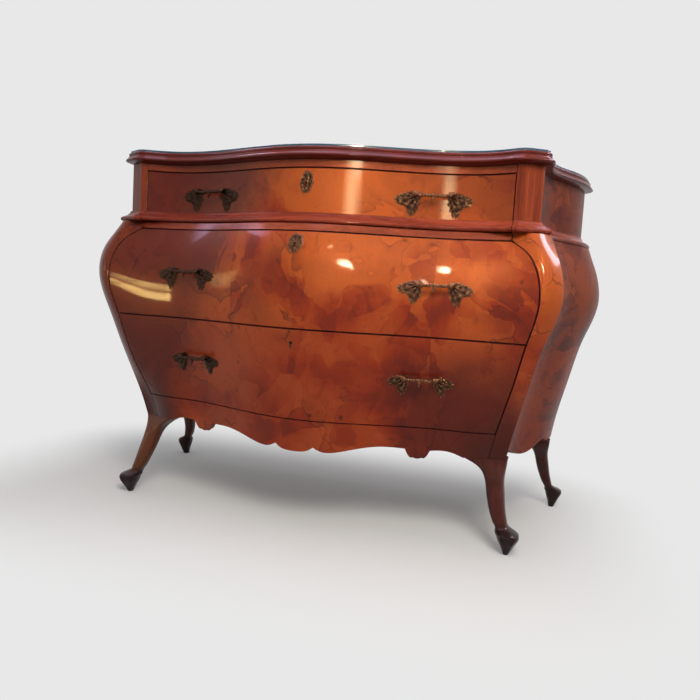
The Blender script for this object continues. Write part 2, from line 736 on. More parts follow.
def burl(name, wood, light, middle, sheet=0.47, scale=1.0, dusk=1.0, low_top=0.44, foot=0.9, polish=1.0,
         gloss=0.5):
    """French-polished burl: patches of different tone with thin dark borders, clouds that end in tide lines,
    veins and small eyes; the sheets on the left, low on the right and by the legs are darker."""
    f = Finish(name)
    dark, vein = wood.burl_dark, wood.burl_vein
    across, deep, up = f.axes(f.place)
    wander = f.noise(f.place, 3.0, 1.0) * 0.016
    number = ((across + wander + 1.1) / sheet).sum("FLOOR")
    seat = f.add("ShaderNodeCombineXYZ", {}, across + number * 3.7, deep * 0.4, up + number * 1.9)
    soft = f.bent(f.place, 0.10 / scale, 5.0 * scale, 2.0)
    ground = f.noise(soft, 4.5 * scale, 2.0, 0.5)
    cloud = f.noise(soft, 7.0 * scale, 3.0, 0.5, 0.6)
    wisp = f.noise(seat, 24.0 * scale, 4.0, 0.6, 1.4)
    torn = f.bent(f.bent(seat, 0.13, 4.5, 3.0), 0.040, 21.0, 3.0)
    patch = f.axes(f.cells(torn, 8.0 * scale, out="Color"))[0]
    scrap = f.axes(f.cells(torn, 19.0 * scale, out="Color"))[1]
    tone = patch * 0.15 + scrap * 0.08 + ground * 0.6 + cloud * 0.3
    gold = across.over(-0.04, 0.10) * (1.0 - across.over(0.36, 0.46))
    gold = gold * (up + (cloud - 0.5) * 0.2).over(0.52, 0.62)
    ruddy = (1.0 - up.over(0.42, 0.60)) * 0.62
    base = f.mix((tone + gold * 0.10).over(0.46, 0.66), middle, f.mix(ruddy, light, RUDDY))
    where = f.noise(soft, 3.4 * scale, 1.0).over(0.42, 0.58)
    step = (cloud * 5.0).sum("FRACT")
    tide = step ** 2.0 * where
    crest = step.over(0.92, 0.985) * where * wisp.over(0.42, 0.58)
    deeper = 1.0 - gold * 0.45
    base = f.mix((0.54 - tone).over(0.0, 0.12) * 0.50 * deeper, base, dark)
    base = f.mix(tide * 0.60 * deeper, base, dark)
    base = f.mix(wisp.over(0.56, 0.72) * 0.40 * deeper, base, dark)
    base = f.mix(crest * 0.45, base, vein)
    left = (-across + (up - 0.4) * 0.45 + (ground - 0.5) * 0.22 + (wisp - 0.5) * 0.08).over(0.22, 0.38) * 0.88
    height = up + (cloud - 0.5) * 0.25
    low = (across + (wisp - 0.5) * 0.12).over(0.19, 0.27)
    low = low * (1.0 - height.over(low_top - 0.09, low_top + 0.08))
    high = (across + (wisp - 0.5) * 0.1).over(0.20, 0.30) * height.over(0.70, 0.76) * 0.45
    shade = left.sum("MAXIMUM", low * 0.8).sum("MAXIMUM", high)
    base = f.mix(shade * (0.80 + ground * 0.35) * dusk, base, dark)
    knee = (1.0 - up.over(0.215, 0.33)) * across.sum("ABSOLUTE").over(0.32, 0.43)
    base = f.mix(knee * foot, base, shaded(1.6, wood.leg))
    border = 1.0 - f.cells(torn, 8.0 * scale, "DISTANCE_TO_EDGE").over(0.0, 0.016)
    thread = 1.0 - f.cells(torn, 19.0 * scale, "DISTANCE_TO_EDGE").over(0.0, 0.030)
    base = f.mix(border * f.noise(seat, 7.0).over(0.50, 0.62) * 0.65, base, vein)
    base = f.mix(thread * f.noise(seat, 9.0).over(0.54, 0.66) * 0.35, base, vein)
    eyes = f.cells(f.bent(seat, 0.02, 30.0), 19.0 * scale)
    eyes = (1.0 - eyes.over(0.04, 0.15)) * f.noise(seat, 5.0 * scale, 1.0).over(0.56, 0.68)
    base = f.mix(eyes * 0.7, base, vein)
    curl = f.noise(f.scaled(1.0, 1.0, 0.35, source=seat), 150.0, 3.0, 0.6)
    base = f.mix(0.22, base, f.mix(curl.over(0.3, 0.7), dark, light), "SOFT_LIGHT")
    joint = ((across + wander + 1.1) / sheet).sum("FRACT")
    joint = 1.0 - (joint.sum("MINIMUM", 1.0 - joint) * sheet).over(0.0003, 0.0009)
    base = f.mix(joint * 0.25, base, vein)
    rough = 0.31 + cloud * 0.12 + curl * 0.05
    wavy = f.noise(f.place, 16.0, 2.0) + curl * 0.045
    return f.done(base, rough, f.bump(wavy, 0.17, 0.003), Coat_Weight=wood.polish * polish,
                  Coat_Roughness=0.075, Coat_IOR=1.3, IOR=1.3, Specular_IOR_Level=gloss,
                  Specular_Tint=WARM_GLOSS)


def strip_grain(name, wood, light, dark, along="Z", polish=None, coarse=1.0, rough_at=0.32, coat_bend=1.3,
                gloss=0.5):
    """Straight-grained polished wood; the grain runs along one axis."""
    f = Finish(name)
    squeeze = {"X": (0.05, 1.0, 1.0), "Y": (1.0, 0.05, 1.0), "Z": (1.0, 1.0, 0.05)}[along]
    seat = f.scaled(*squeeze, source=f.bent(f.place, 0.03, 3.0))
    wide = f.noise(seat, 45.0 * coarse, 4.0, 0.6, 0.3)
    fine = f.noise(seat, 260.0 * coarse, 3.0, 0.6)
    cloud = f.noise(f.place, 7.0, 3.0)
    base = f.mix((wide * 0.65 + fine * 0.35).over(0.36, 0.64), dark, light)
    base = f.mix(cloud.over(0.5, 0.75) * 0.45, base, dark)
    pores = f.noise(seat, 700.0 * coarse, 1.0).over(0.60, 0.70)
    base = f.mix(pores * 0.30, base, PORE)
    if polish != 0.0:
        across = f.axes(f.place)[0]
        left = (-across + (cloud - 0.5) * 0.1).over(0.12, 0.24)
        base = f.mix(left * 0.55, base, wood.burl_dark)
    coat = wood.polish if polish is None else polish
    return f.done(base, rough_at + fine * 0.12, f.bump(fine + wide * 0.4, 0.12, 0.0012), Coat_Weight=coat,
                  Coat_Roughness=0.11, Coat_IOR=coat_bend, IOR=1.3, Specular_IOR_Level=gloss,
                  Specular_Tint=WARM_GLOSS)


def leg_wood(name, wood):
    """Dark stained legs that turn black at the carved toes."""
    f = Finish(name)
    across, _, up = f.axes(f.place)
    seat = f.scaled(1.0, 1.0, 0.08, source=f.bent(f.place, 0.02, 5.0))
    grain = f.noise(seat, 60.0, 4.0, 0.6, 0.4)
    smear = f.noise(f.place, 16.0, 3.0)
    base = f.mix(grain.over(0.35, 0.7) * 0.7, wood.leg, shaded(2.3, wood.leg))
    base = f.mix((-across).over(0.0, 0.2) * 0.5, base, LIT_LEG)
    base = f.mix(1.0 - (up + smear * 0.02).over(0.062, 0.085), base, wood.toe)
    worn = f.add("ShaderNodeNewGeometry", {}, out="Pointiness").over(0.53, 0.60)
    base = f.mix(worn * smear.over(0.35, 0.6) * 0.35, base, shaded(3.0, wood.leg))
    return f.done(base, 0.32 + smear * 0.2, f.bump(grain, 0.15, 0.001), Coat_Weight=0.45, Coat_Roughness=0.14,
                  Coat_IOR=1.35, IOR=1.3, Specular_Tint=WARM_GLOSS)


def grimy_edge(name, wood):
    """The dark line of old polish and dust along the edges of drawers and rails."""
    f = Finish(name)
    grime = f.noise(f.place, 30.0, 3.0)
    base = f.mix(grime.over(0.35, 0.7), wood.burl_vein, shaded(0.6, wood.burl_dark))
    return f.done(base, 0.55 + grime * 0.2, None, IOR=1.2)


def cast_brass(name, metal):
    """Cast brass, dark in the hollows and rubbed bright on the high places; black with age on the left."""
    f = Finish(name)
    across = f.axes(f.place)[0]
    worn = f.add("ShaderNodeNewGeometry", {}, out="Pointiness").over(0.46, 0.57)
    tarnish = f.noise(f.place, 190.0, 4.0, 0.65).over(0.35, 0.68)
    kept = 1.0 - (-across).over(0.10, 0.18) * 0.85
    base = f.mix(worn * (0.30 + tarnish * 0.70) * kept, metal.patina, metal.brass)
    grit = f.noise(f.place, 900.0, 2.0)
    rough = 0.46 - worn * 0.16 + tarnish * 0.1
    return f.done(base, rough, f.bump(grit + tarnish, 0.35, 0.0006), Metallic=0.9)


def dull_iron(name, metal):
    f = Finish(name)
    rust = f.noise(f.place, 120.0, 5.0, 0.7)
    base = f.mix(rust.over(0.5, 0.72) * 0.7, metal.iron, RUST)
    return f.done(base, 0.42 + rust * 0.3, f.bump(rust, 0.3, 0.0004), Metallic=0.85)


def clear_glass(name):
    f = Finish(name)
    dust = f.noise(f.place, 40.0, 3.0)
    return f.done((0.90, 0.97, 0.95, 1.0), 0.02 + dust * 0.03, None, Transmission_Weight=1.0, IOR=1.5)


def glass_edge(name, deep, light, rough_at):
    """The polished edge, where the light that runs inside the sheet comes out coloured."""
    f = Finish(name)
    run = f.noise(f.place, 22.0, 3.0)
    base = f.mix(run.over(0.3, 0.7), deep, light)
    return f.done(base, rough_at + run * 0.1, None, IOR=1.4, Coat_Weight=0.4)


FINISH = {}


def make_finishes(wood, metal):
    FINISH["burl"] = burl("burl veneer", wood, wood.burl_light, wood.burl_middle)
    FINISH["side"] = burl("side veneer", wood, wood.side_light, wood.side_middle, 0.9, 1.3, 0.3, 0.30, 0.0,
                          0.1, 0.15)
    FINISH["stile"] = burl("stile veneer", wood, wood.burl_light, wood.burl_middle, 0.9, 1.3, 0.9, 0.33, 0.95)
    FINISH["edge"] = grimy_edge("grimy edge", wood)
    FINISH["post"] = strip_grain("post veneer", wood, wood.strip_light, wood.strip_dark, polish=0.3,
                                 gloss=0.2)
    FINISH["rail"] = strip_grain("rail veneer", wood, wood.strip_light, wood.strip_dark, "X")
    FINISH["top"] = strip_grain("moulded top", wood, wood.moulding, shaded(0.6, wood.moulding), "X", 0.4,
                                coat_bend=1.4, gloss=0.1)
    FINISH["moulding"] = strip_grain("waist moulding", wood, wood.waist_light, wood.waist_dark, "X", 0.3,
                                     gloss=0.1)
    FINISH["leg"] = leg_wood("leg wood", wood)
    FINISH["plain"] = strip_grain("plain wood", wood, wood.plain, shaded(0.55, wood.plain), "X", 0.0, 0.6,
                                  0.6)
    FINISH["brass"] = cast_brass("cast brass", metal)
    FINISH["iron"] = dull_iron("dull iron", metal)
    FINISH["glass"] = clear_glass("clear glass")
    FINISH["glass edge"] = glass_edge("dark glass edge", *GLASS_EDGE_DARK, 0.2)
    FINISH["glass pale"] = glass_edge("pale glass edge", *GLASS_EDGE_PALE, 0.3)


def finish_nodes(names, finish):
    for name in names:
        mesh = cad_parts[name].data
        mesh.materials.clear()
        mesh.materials.append(FINISH[finish])


# ---------------------------------------------------------------- forms of the pieces
def drawer_front_shell(drawer):
    low, high = DRAWER_SPAN[drawer]
    front = []
    for z in spaced(low, high, 28):
        half = (DRAWER_1_HALF if drawer == 1 else stile_x(z)) - REVEAL / 2.0
        xs = [half * u for u in spaced(-1.0, 1.0, 131)]
        front.append([(x, front_y(drawer, x, z), z) for x in xs])
    return slab_shell(front, moved(front, y=FRONT_THICK))


def keyhole_loop(z, grow, count=18):
    """The keyhole's outline round its round eye, grown by the given amount."""
    eye = KEY_RADIUS + grow
    slot = KEY_SLOT + grow
    low = z - KEY_TAIL - grow
    start = math.asin(slot / eye)
    loop = [(-slot, low)]
    for turn in spaced(start, 2.0 * math.pi - start, count):
        loop.append((-math.sin(turn) * eye, z - math.cos(turn) * eye))
    return loop + [(slot, low)]


def keyhole_cutter(drawer):
    loop = keyhole_loop(KEYHOLES[drawer], 0.0)
    return put("key", tube_shell([[(x, y, z) for x, z in loop] for y in (-300.0, 100.0)]).mesh("key"))


def mortise_cutter(drawer):
    """The room in the rail above a drawer for its lock bolt at the end of its travel."""
    low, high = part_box("drawer_%d_lock_bolt" % drawer)
    grow = BOLT_ROOM * MM
    lift = (BOLT_TRAVEL + BOLT_HEADROOM) * MM
    plan = ((low.x - grow, low.y - grow), (high.x + grow, low.y - grow), (high.x + grow, high.y + grow),
            (low.x - grow, high.y + grow))
    corners = [(x, y, z) for z in (low.z, high.z + lift) for x, y in plan]
    sides = [(i, (i + 1) % 4, (i + 1) % 4 + 4, i + 4) for i in range(4)]
    mesh = bpy.data.meshes.new("mortise")
    mesh.from_pydata(corners, [], [(3, 2, 1, 0), (4, 5, 6, 7)] + sides)
    return put("mortise", mesh)


def rail_shell(low, high, half, line):
    """A front rail between two heights, whose face follows the given line."""
    rows = spaced(low, high, 6)
    xs = spaced(-half, half, 121)
    return slab_shell([[(x, line(x, z), z) for x in xs] for z in rows],
                      [[(x, RAIL_BACK, z) for x in xs] for z in rows])


def apron_shell():
    """The apron: a scalloped run to either side, then a plain stretch that ends at the stile."""
    ends = [run[-1][0] for run in APRON_EDGE]
    marks = sorted({0.0, *ends} | set(spaced(0.0, ends[-1], 100)))
    front = []
    for v in spaced(0.0, 1.0, 12):
        places = [(x, apron_low(x) + (APRON_TOP - apron_low(x)) * v) for x in marks]
        z = LEG_TALL + APRON_TALL * v
        edge = stile_x(z) + REVEAL / 2.0 - GLUE_LINE
        places += [(x, z) for x in spaced(ends[-1], edge, 7)[1:]]
        row = [(x, belly_front(x, z), z) for x, z in places]
        front.append([(-x, y, z) for x, y, z in reversed(row[1:])] + row)
    return slab_shell(front, moved(front, y=APRON_THICK))


def stile_shell():
    across, deep, hidden = 13, 5, 5      # points on the face, on the side and behind
    sections = []
    for z in spaced(LEG_TALL, WAIST_TOP, 64):
        line = stile_x(z) + REVEAL / 2.0
        ax, ay = arris_point(z)
        section = [(line, belly_front(line, z) + STILE_RIM, z)]
        section += [(x, belly_front(x, z), z) for x in spaced(line + 0.7 * STILE_RIM, ax, across)]
        section += [(arris_x(z) + side_sweep(y), y, z) for y in spaced(ay, ay + STILE_DEEP, deep + 1)[1:]]
        bx = section[-1][0]
        section += [(x, belly_front(x, z) + STILE_DEEP, z) for x in spaced(bx - 6.0, line, hidden)]
        sections.append(section)
    return tube_shell(sections, [3] + [0] * (across - 1) + [1] * deep + [2] * (hidden + 1))


def side_shell():
    outer = []
    low_start = arris_point(LEG_TALL)[1] + STILE_DEEP + GLUE_LINE
    for t in spaced(0.0, 1.0, 56):
        row = []
        for s in spaced(0.0, 1.0, 64):
            foot = side_low(low_start + (CASE_BACK - low_start) * s)
            z = foot + (WAIST_TOP - foot) * t
            start = arris_point(z)[1] + STILE_DEEP + GLUE_LINE
            y = start + (CASE_BACK - start) * s
            row.append((arris_x(z) + side_sweep(y), y, z))
        outer.append(row)
    return slab_shell(outer, moved(outer, x=-SIDE_THICK))


def frieze_post_shell():
    inside = DRAWER_1_HALF + REVEAL / 2.0
    plan = [(x, frieze_front(x)) for x in spaced(inside, FACET_X, 5)]
    arris = len(plan)
    plan += [(HALF_WIDTH + side_sweep(y), y) for y in spaced(-FACET_REAR, FRIEZE_POST_BACK, 6)]
    plan.append((inside, FRIEZE_POST_BACK))
    plan = eased_corner(plan, arris, POST_EASE)
    return tube_shell([[(x, y, z) for x, y in plan] for z in spaced(WAIST_TOP, FRIEZE_TOP, 8)],
                      [0] * 9 + [1] * 9 + [2] * 2)


def frieze_side_shell():
    ys = spaced(FRIEZE_POST_BACK, CASE_BACK, 30)
    outer = [[(HALF_WIDTH + side_sweep(y), y, z) for y in ys] for z in spaced(WAIST_TOP, FRIEZE_TOP, 6)]
    return slab_shell(outer, moved(outer, x=-FRIEZE_SIDE_THICK))


def board_shell():
    return tube_shell(swept(both_hands(rounded_plan()), eased(TOP_PROFILE), FRIEZE_TOP))


def glass_shell():
    """The loose glass with its dark polished edge, pale along the lower chamfer."""
    plan = both_hands(rounded_plan(CASE_BACK - GLASS_SHORT))
    profile = ((0.0, GLASS_OVER - GLASS_CHAMFER), (GLASS_CHAMFER, GLASS_OVER),
               (0.52 * GLASS_THICK, GLASS_OVER), (GLASS_THICK - GLASS_CHAMFER, GLASS_OVER),
               (GLASS_THICK, GLASS_OVER - GLASS_CHAMFER))
    shell = Shell()
    loops = [shell.add(row) for row in swept(plan, profile, BOARD_TOP)]
    for low, high, finish in zip(loops, loops[1:], (2, 1, 1, 1)):
        shell.strip(low, high, True, finish)
    shell.face(reversed(loops[0]))
    shell.face(loops[-1])
    return shell


def waist_shell(plan, lift):
    """A run of the waist moulding on part of the plan, closed against the frieze."""
    crown = WAIST_PROFILE[-1][0]
    profile = [(lift + up * (crown - lift) / crown, out) for up, out in eased(WAIST_PROFILE)]
    profile = [(profile[0][0], GLUE_LINE)] + profile + [(profile[-1][0], GLUE_LINE)]
    return tube_shell(zip(*swept(plan, profile, WAIST_TOP)))


def waist_plans():
    """The plan of the moulding split at the top drawer's edges: the drawer's run and the right-hand run."""
    plan = frieze_plan(CASE_BACK, 120)
    edge = DRAWER_1_HALF - REVEAL / 2.0
    beside = DRAWER_1_HALF + REVEAL / 2.0

    def at(x):
        return (x, frieze_front(x), 0.0, -math.hypot(slope_at(frieze_front, x), 1.0))
    middle = [point for point in plan if point[0] < edge - 1.0]
    return both_hands(middle + [at(edge)]), [at(beside)] + plan[index_at(plan, FACET_X):]


def leg_shell(thinner=0.0, splay=0.0):
    """A cabriole leg on a carved scroll toe, with the toe outwards and forwards; its top carries on the lines
    of the stile above."""
    columns = [Smooth([(level, section[k]) for level, *section in reversed(LEG_SECTIONS)]) for k in range(6)]
    sections = []
    for z in spaced(0.0, LEG_TALL, 84):
        x_in, x_out, front_in, front_out, rear, power = [column(z / LEG_TALL) for column in columns]
        lean = splay * (1.0 - z / LEG_TALL)
        narrow = thinner * min(1.0, 0.3 + z / 70.0)
        x_in, rear = x_in + narrow, rear - narrow - lean
        front_in, front_out = front_in - lean, front_out - lean
        follow = max(0.0, 1.0 - (LEG_TALL - z) / LEG_FOLLOWS) ** 1.5
        power += (LEG_TOP_POWER - power) * follow
        slim = (4.0 - 0.4 * thinner) * max(0.0, 1.0 - z / 30.0)
        x_in, x_out, rear = x_in + slim, x_out - slim, rear - slim
        front_in, front_out = front_in + slim, front_out + slim
        lip, neck, pad = [swelling * bell(z, middle, reach) for middle, reach, swelling in TOE_RINGS]
        section = []
        for angle in turns(56):
            nx, ny = math.cos(angle), math.sin(angle)
            across = math.copysign(abs(nx) ** power, nx)
            along = math.copysign(abs(ny) ** power, ny)
            front = front_in + (front_out - front_in) * (across + 1.0) / 2.0
            x = x_in + (x_out - x_in) * (across + 1.0) / 2.0
            front += (belly_front(HALF_WIDTH + x, LEG_TALL) + 0.3 - front) * follow
            y = front + (rear - front) * (along + 1.0) / 2.0
            facing = max(0.0, 0.75 - ny) / 1.75
            petals = abs(math.cos(1.5 * (angle + 0.5 * math.pi))) ** 1.5
            swell = facing * (lip * petals - neck + pad * math.cos(6.0 * angle))
            section.append((HALF_WIDTH + x + nx * swell, y + ny * swell, z))
        sections.append(section)
    return tube_shell(sections)


def relief(shell, drawer, centre, rim, height, rings, inner=None):
    """A cast plate on a drawer front, built of rings of points out to its rim."""
    def on_front(line):
        return [(x, front_y(drawer, x, z) - GLUE_LINE, z) for x, z in line]
    start = inner or [centre] * len(rim)
    loops = []
    for u in spaced(0.0 if inner else 0.04, 1.0, rings):
        loop = []
        for k, ((ax, az), (bx, bz)) in enumerate(zip(start, rim)):
            x, z = ax + (bx - ax) * u, az + (bz - az) * u
            loop.append((x, front_y(drawer, x, z) - GLUE_LINE - height(u, k / len(rim), x, z), z))
        loops.append(loop)
    loops.append(on_front(rim))
    if inner:
        made = shell.tube(loops + [on_front(inner)], caps=False)
        shell.strip(made[-1], made[0], True)
    else:
        shell.tube(loops)


def along_path(shell, path, radii):
    """A closed rod along a path, as thick at each point as given."""
    loops = []
    for i, (point, radius) in enumerate(zip(path, radii)):
        before = Vector(path[max(0, i - 1)])
        after = Vector(path[min(len(path) - 1, i + 1)])
        tangent = (after - before).normalized()
        deep = (Vector((0.0, 1.0, 0.0)) - tangent * tangent.y).normalized()
        rise = tangent.cross(deep)
        loops.append([tuple(Vector(point) + (rise * math.cos(a) + deep * math.sin(a)) * radius)
                      for a in turns(12)])
    shell.tube(loops)


def leaf_end(shell, drawer, x, z, wide, tall, hand):
    """One leafy end of a pull: a frond outwards and one downwards, notched and ribbed."""
    places = [float(k) for k in range(-3, len(LEAF) + 4)]
    outs = Smooth([(k, LEAF[int(k) % len(LEAF)][0]) for k in places])
    ups = Smooth([(k, LEAF[int(k) % len(LEAF)][1]) for k in places])
    heart = (x + hand * wide * 0.28, z - tall * 0.28)
    rim = []
    for k in range(120):
        t = k * len(LEAF) / 120.0
        px, pz = x + hand * wide * outs(t), z + tall * ups(t)
        notch = 0.80 + 0.22 * abs(math.sin(math.pi * k / 7.5)) ** 0.7
        rim.append((heart[0] + (px - heart[0]) * notch, heart[1] + (pz - heart[1]) * notch))

    def height(u, part, px, pz):
        away = math.hypot(px - x, pz - z)
        angle = math.atan2(pz - z, (px - x) * hand)
        ribs = 0.5 + 0.5 * math.cos(13.0 * angle + 1.4 * math.sin(away / 6.0))
        curls = math.sin(away / 2.3 + 2.5 * math.sin(4.0 * angle))
        return 0.7 + (1.0 - u ** 3) * (1.5 + 2.4 * ribs + 1.1 * curls + 1.2 * math.exp(-away / 12.0))
    relief(shell, drawer, heart, rim, height, 15)


def pull_shell(drawer):
    """A cast pull: leafy ends, turned posts, a beaded bar with upturned tips and a small drop."""
    middle, bar_z, span, wide, tall = PULLS[drawer]
    shell = Shell()
    tips = []
    for hand, x in ((-1.0, middle - span / 2.0), (1.0, middle + span / 2.0)):
        face = front_y(drawer, x, bar_z)
        leaf_end(shell, drawer, x, bar_z, wide, tall, hand)
        circle = [(math.cos(a), math.sin(a)) for a in turns(16)]
        shell.tube([[(x + radius * cos, face - depth, bar_z + radius * sin) for cos, sin in circle]
                    for depth, radius in POST_RINGS])
        tips.append(Vector((x, face - PULL_STAND, bar_z)))
    beyond, up = BAR_TIP
    sag = (tips[0] + tips[1]) * 0.5 - Vector((0.0, 0.0, BAR_DIP))
    marks = [tips[0] + Vector((-beyond, 0.0, up)), tips[0], sag, tips[1], tips[1] + Vector((beyond, 0.0, up))]
    rise = Smooth([(point.x, point.z) for point in marks])
    depth = Smooth([(point.x, point.y) for point in marks])
    path = [(x, depth(x), rise(x)) for x in spaced(marks[0].x, marks[-1].x, 81)]
    radii = []
    for x, _, _ in path:
        t = (x - middle) / span
        bead = sum(bell(abs(t), at, 0.018) for at in BAR_BEADS)
        swell = 3.0 * bell(abs(t), 0.47, 0.035) + 1.2 * bell(t, 0.0, 0.05)
        tip = max(0.12, min(1.0, (0.5 * span + beyond - abs(x - middle)) / 7.0)) ** 0.5
        radii.append((3.3 + 1.3 * bead + swell) * tip)
    along_path(shell, path, radii)
    shell.tube([[(sag.x + half * math.cos(a), sag.y + deep * math.sin(a), sag.z - down) for a in turns(12)]
                for down, half, deep in DROP_RINGS])
    return shell


def plate_shell(drawer):
    """A key plate with a scrolled outline and a raised rim; on the lowest drawer only a slim liner."""
    eye = KEYHOLES[drawer]
    hole = keyhole_loop(eye, 0.15, 61)
    shell = Shell()
    if drawer not in PLATES:
        relief(shell, drawer, None, keyhole_loop(eye, 2.2, 61),
               lambda u, part, x, z: 0.5 + 0.6 * math.sin(math.pi * u), 6, hole)
        return shell
    half, tall = PLATES[drawer]
    middle = eye + PLATE_UP[drawer]
    rim = []
    for x, z in hole:
        angle = math.atan2(x, z - middle)
        reach = 0.80 + 0.07 * math.cos(2.0 * angle) + 0.14 * abs(math.cos(3.5 * angle + 0.4)) ** 0.6
        reach += 0.05 * math.sin(2.0 * angle) + 0.03 * math.sin(angle * 9.0)
        rim.append((math.sin(angle) * half * reach, middle + math.cos(angle) * tall * 0.5 * reach))

    def height(u, part, x, z):
        ribs = 0.9 * math.sin(math.pi * u) * math.cos(2.0 * math.pi * part * 11.0 + 4.0 * u)
        return 1.2 + bell(u, 0.84, 0.11) * 1.6 + 1.4 * bell(u, 0.0, 0.10) + ribs + 0.9 * (1.0 - u)
    relief(shell, drawer, None, rim, height, 16, hole)
    return shell


def carving_shell():
    """A small carved drop under the apron: three ribbed leaves that fade into it above."""
    first, last = APRON_EDGE[DROP_RUN][0][0], APRON_EDGE[DROP_RUN][-1][0]
    middle, half = (first + last) / 2.0, (last - first) / 2.0
    front = []
    back = []
    for v in spaced(0.0, 1.0, 16):
        row = []
        for x in spaced(first + 0.6, last - 0.6, 43):
            u = (x - middle) / half
            lobe = abs(math.cos(1.5 * math.pi * u)) ** 0.6
            low = LEG_TALL + apron_runs[DROP_RUN](x) + 1.0 - 3.4 * lobe
            high = LEG_TALL + 9.5 + 12.0 * max(0.0, 1.0 - u * u) ** 0.8
            z = low + (high - low) * v
            proud = (0.9 + 2.8 * lobe) * (1.0 - v) ** 0.7 * min(1.0, v / 0.12 + 0.25) - GLUE_LINE * v
            row.append((x, belly_front(x, z) - GLUE_LINE - proud, z))
        front.append(row)
        back.append([(x, belly_front(x, z) - GLUE_LINE + 6.0, z) for x, y, z in row])
    return slab_shell(front, back)


# ---------------------------------------------------------------- operators
class Step(Operator):
    bl_options = {"REGISTER", "UNDO"}

    def execute(self, context):
        self.make(context)
        return {"FINISHED"}


class CHEST_OT_finishes(Step):
    """Makes every finish from the settings and gives the inner pieces theirs"""
    bl_idname = "chest.finishes"
    bl_label = "Finishes"

    def make(self, context):
        make_finishes(context.scene.chest_wood, context.scene.chest_metal)
        wood = ["rear_post_left", "rear_post_right", "back_panels", "rear_rails", "divider_rail",
                "drawer_runners", "drawer_guides", "dust_boards"]
        iron = []
        for drawer in DRAWER_SPAN:
            prefix = "drawer_%d_" % drawer
            wood += [prefix + part for part in ("back", "bottom", "sides")]
            iron += [prefix + part for part in ("lock_bolt", "lock_case", "pull_bolts")]
        finish_nodes(wood, "plain")
        finish_nodes(iron, "iron")


class CHEST_OT_drawer_fronts(Step):
    """Builds the three veneered drawer fronts with their keyholes"""
    bl_idname = "chest.drawer_fronts"
    bl_label = "Drawer fronts"

    def make(self, context):
        for drawer in DRAWER_SPAN:
            body = "drawer_%d" % drawer
            shell = drawer_front_shell(drawer)
            piece = shell.build("veneered_front_%d" % drawer, body, [body + "_front"], "burl_front",
                                [FINISH["burl"], FINISH["edge"]], 1.5, rim=1)
            cut_out(piece, keyhole_cutter(drawer))


class CHEST_OT_front_frame(Step):
    """Builds the front rails and the scalloped apron with its carved drops"""
    bl_idname = "chest.front_frame"
    bl_label = "Front frame"

    def make(self, context):
        railed = [FINISH["rail"], FINISH["edge"]]
        half = DRAWER_1_HALF + REVEAL / 2.0
        rail = rail_shell(TOP_RAIL_LOW, FRIEZE_TOP, half, lambda x, z: frieze_front(x))
        piece = rail.build("frieze_rail", "case", ["top_rail"], "post_veneer", railed, 1.3, rim=1)
        cut_out(piece, mortise_cutter(1))
        half = stile_x(D2_TOP) + REVEAL / 2.0 - GLUE_LINE
        rail = rail_shell(WAIST_RAIL_LOW, WAIST_TOP, half, belly_front)
        piece = rail.build("rail_below_moulding", "case", ["waist_rail"], "post_veneer", railed, 1.3, rim=1)
        cut_out(piece, mortise_cutter(2))
        apron_shell().build("scalloped_apron", "case", ["front_apron"], "burl_front",
                            [FINISH["burl"], FINISH["edge"]], 1.3, rim=1)
        carving = carving_shell()
        carving.join(carving.mirrored())
        carving.build("carved_drops", "case", ["apron_carvings"], "burl_front", [FINISH["burl"]], 0.0, 60.0)


def both_sides(shell, name, node, slot, finishes, *settings, body="case"):
    """The right-hand piece and its left-hand twin."""
    shell.build(name + "_right", body, [node + "_right"], slot, finishes, *settings)
    shell.mirrored().build(name + "_left", body, [node + "_left"], slot, finishes, *settings)


class CHEST_OT_corners_and_sides(Step):
    """Builds the bombe stiles and sides and the posts and sides of the frieze"""
    bl_idname = "chest.corners_and_sides"
    bl_label = "Corners and sides"

    def make(self, context):
        side = [FINISH["side"]]
        stile = [FINISH["stile"], FINISH["side"], FINISH["plain"], FINISH["edge"]]
        both_sides(stile_shell(), "bombe_stile", "front_post", "post_veneer", stile, 0.5)
        both_sides(side_shell(), "veneered_side", "bombe_side", "side_veneer", side, 1.0)
        post = [FINISH["post"], FINISH["side"], FINISH["plain"]]
        both_sides(frieze_post_shell(), "corner_post", "frieze_post", "post_veneer", post, 1.0)
        both_sides(frieze_side_shell(), "frieze_end", "frieze_side", "side_veneer", side, 0.6)


class CHEST_OT_mouldings(Step):
    """Builds the waist moulding in its three runs"""
    bl_idname = "chest.mouldings"
    bl_label = "Mouldings"

    def make(self, context):
        drawer_run, right_run = waist_plans()
        wood = [FINISH["moulding"]]
        both_sides(waist_shell(right_run, 0.0), "waist_run", "waist_moulding", "moulding", wood, 0.3)
        run = waist_shell(drawer_run, REVEAL)
        run.build("drawer_waist_run", "drawer_1", ["drawer_1_moulding"], "moulding", wood, 0.3)


class CHEST_OT_top(Step):
    """Builds the moulded top board and the glass that lies on it"""
    bl_idname = "chest.top"
    bl_label = "Top"

    def make(self, context):
        board_shell().build("moulded_board", "case", ["top_board"], "moulded_top", [FINISH["top"]], 0.4)
        glass = [FINISH["glass"], FINISH["glass edge"], FINISH["glass pale"]]
        glass_shell().build("loose_glass", "case", ["glass_top"], "glass", glass, 0.0)


class CHEST_OT_legs(Step):
    """Builds the four cabriole legs on their carved toes"""
    bl_idname = "chest.legs"
    bl_label = "Legs"

    def make(self, context):
        both_sides(leg_shell(), "cabriole_leg", "front_leg", "leg_wood", [FINISH["leg"]], 0.0, 70.0)
        beyond, behind = side_sweep(CASE_BACK), CASE_BACK + REAR_LEG_BEYOND
        rear = leg_shell(REAR_LEG_SLIM, REAR_LEG_SPLAY).reflected(lambda x, y, z: (x + beyond, behind - y, z))
        both_sides(rear, "rear_cabriole_leg", "rear_leg", "leg_wood", [FINISH["leg"]], 0.0, 70.0)


